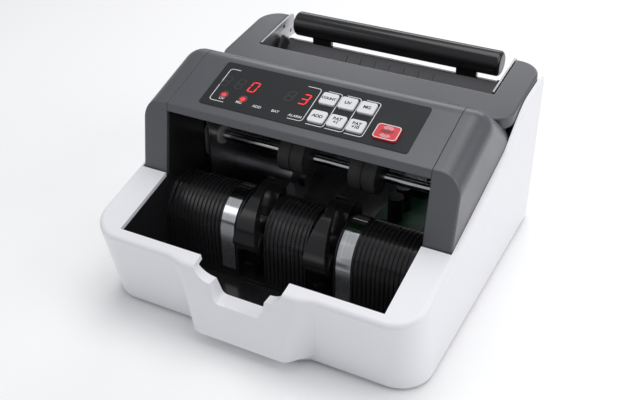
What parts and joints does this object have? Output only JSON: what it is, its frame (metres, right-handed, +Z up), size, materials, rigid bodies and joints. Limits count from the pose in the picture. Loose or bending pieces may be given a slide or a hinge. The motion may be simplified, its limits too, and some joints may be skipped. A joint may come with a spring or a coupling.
{
  "type": "banknote counting machine",
  "caption": "Desktop banknote counter: rear hopper, hood with keys and lit display, belt-driven rollers, finger wheels that stack notes in a front pocket with a finger notch.",
  "frame": {"origin": "centre of the footprint, at the underside of the rubber feet", "axes": "+Z up, -Y towards the front pocket, +X to the operator's right"},
  "size_m": [0.236, 0.2516, 0.1431],
  "materials": {
    "white_shell": "smooth satin moulding",
    "graphite_shell": "semi-gloss fine texture",
    "black_plastic": "satin",
    "black_gloss": "gloss",
    "panel_film": "printed film",
    "key_white": "satin with printed caption",
    "key_red": "satin",
    "display_red": "clear red window",
    "led_red": "clear lens",
    "steel_plate": "rolled sheet",
    "steel_bright": "ground bar",
    "rubber_black": "matte",
    "rubber_grey": "matte",
    "board_green": "solder mask",
    "pulley_white": "acetal",
    "motor_steel": "zinc plated"
  },
  "bodies": {
    "chassis": {"lower_housing": "white_shell", "base_plate": "steel_plate", "base_screws": "steel_bright", "rubber_feet": "rubber_black", "side_shell_left": "graphite_shell", "side_shell_right": "graphite_shell", "hood": "graphite_shell", "control_label": "panel_film", "control_board": "board_green", "tact_switches": "black_plastic", "count_display": "display_red", "batch_display": "display_red", "status_leds": "led_red", "hopper_surround": "graphite_shell", "pocket_side_left": "black_plastic", "pocket_side_right": "black_plastic", "stacker_bed": "black_plastic", "bed_strips": "steel_bright", "frame_left": "steel_plate", "frame_right": "steel_plate", "cross_bars": "steel_plate", "shaft_bushes": "pulley_white", "belt_motor": "rubber_black", "belt_feed": "rubber_black", "belt_stacker": "rubber_black", "motor_body": "motor_steel", "feed_table": "black_plastic", "retard_pads": "rubber_grey", "detector_head": "black_plastic", "rest_bar": "graphite_shell", "rear_cover": "graphite_shell", "cover_screws": "steel_bright", "power_inlet": "black_plastic", "main_board": "board_green", "board_components": "black_plastic"},
    "stacker": {"stacker_shaft": "steel_bright", "stacker_wheel_left": "black_gloss", "stacker_wheel_right": "black_gloss", "stacker_pulley": "pulley_white"},
    "transport": {"transport_shaft": "steel_bright", "transport_rollers": "rubber_grey", "transport_pulleys": "pulley_white"},
    "feed": {"feed_shaft": "steel_bright", "feed_rollers": "rubber_grey", "feed_pulley": "pulley_white"},
    "pinch": {"pinch_roller_shaft": "steel_bright"},
    "motor_rotor": {"motor_shaft": "steel_bright", "motor_pulley": "pulley_white"},
    "guide_left": {"note_guide_left": "black_plastic"},
    "guide_right": {"note_guide_right": "black_plastic"},
    "knob": {"adjust_knob": "black_plastic"},
    "rocker": {"switch_rocker": "black_gloss"},
    "button_count_key": {"button_count": "key_white"},
    "button_uv_key": {"button_uv": "key_white"},
    "button_mg_key": {"button_mg": "key_white"},
    "button_add_key": {"button_add": "key_white"},
    "button_batch_one_key": {"button_batch_one": "key_white"},
    "button_batch_ten_key": {"button_batch_ten": "key_white"},
    "button_restart_key": {"button_restart": "key_red"}
  },
  "joints": [
    {"name": "transport_spin", "type": "hinge", "parent": "chassis", "child": "transport", "pos_m": [0, 0.00975, 0.0745], "axis": [1, 0, 0], "continuous": true},
    {"name": "stacker_spin", "type": "hinge", "parent": "chassis", "child": "stacker", "pos_m": [0, -0.04025, 0.0445], "axis": [1, 0, 0], "continuous": true},
    {"name": "feed_spin", "type": "hinge", "parent": "chassis", "child": "feed", "pos_m": [0, 0.06175, 0.0725], "axis": [1, 0, 0], "continuous": true},
    {"name": "pinch_spin", "type": "hinge", "parent": "chassis", "child": "pinch", "pos_m": [0, 0.00975, 0.0958], "axis": [1, 0, 0], "continuous": true},
    {"name": "motor_spin", "type": "hinge", "parent": "chassis", "child": "motor_rotor", "pos_m": [0, 0.04175, 0.0335], "axis": [1, 0, 0], "continuous": true},
    {"name": "guide_left_slide", "type": "slide", "parent": "chassis", "child": "guide_left", "axis": [1, 0, 0], "range_m": [0, 0.028]},
    {"name": "guide_right_slide", "type": "slide", "parent": "chassis", "child": "guide_right", "axis": [-1, 0, 0], "range_m": [0, 0.028]},
    {"name": "knob_turn", "type": "hinge", "parent": "chassis", "child": "knob", "pos_m": [0, 0.12, 0.0945], "axis": [0, 1, 0], "range_deg": [-180, 180]},
    {"name": "rocker_tilt", "type": "hinge", "parent": "chassis", "child": "rocker", "pos_m": [-0.062, 0.11545, 0.0725], "axis": [1, 0, 0], "range_deg": [0, 14]},
    {"name": "button_count_press", "type": "slide", "parent": "chassis", "child": "button_count_key", "axis": [0, 0.2873, -0.9578], "range_m": [0, 0.0008], "stiffness_N_per_m": 250},
    {"name": "button_uv_press", "type": "slide", "parent": "chassis", "child": "button_uv_key", "axis": [0, 0.2873, -0.9578], "range_m": [0, 0.0008], "stiffness_N_per_m": 250},
    {"name": "button_mg_press", "type": "slide", "parent": "chassis", "child": "button_mg_key", "axis": [0, 0.2873, -0.9578], "range_m": [0, 0.0008], "stiffness_N_per_m": 250},
    {"name": "button_add_press", "type": "slide", "parent": "chassis", "child": "button_add_key", "axis": [0, 0.2873, -0.9578], "range_m": [0, 0.0008], "stiffness_N_per_m": 250},
    {"name": "button_batch_one_press", "type": "slide", "parent": "chassis", "child": "button_batch_one_key", "axis": [0, 0.2873, -0.9578], "range_m": [0, 0.0008], "stiffness_N_per_m": 250},
    {"name": "button_batch_ten_press", "type": "slide", "parent": "chassis", "child": "button_batch_ten_key", "axis": [0, 0.2873, -0.9578], "range_m": [0, 0.0008], "stiffness_N_per_m": 250},
    {"name": "button_restart_press", "type": "slide", "parent": "chassis", "child": "button_restart_key", "axis": [0, 0.2873, -0.9578], "range_m": [0, 0.0008], "stiffness_N_per_m": 250}
  ],
  "couplings": [
    {"joint": "motor_spin", "follows": "transport_spin", "ratio": 2},
    {"joint": "feed_spin", "follows": "transport_spin", "ratio": 0.66667},
    {"joint": "stacker_spin", "follows": "transport_spin", "ratio": 0.5},
    {"joint": "pinch_spin", "follows": "transport_spin", "ratio": -2},
    {"joint": "guide_left_slide", "follows": "guide_right_slide", "ratio": 1}
  ]
}
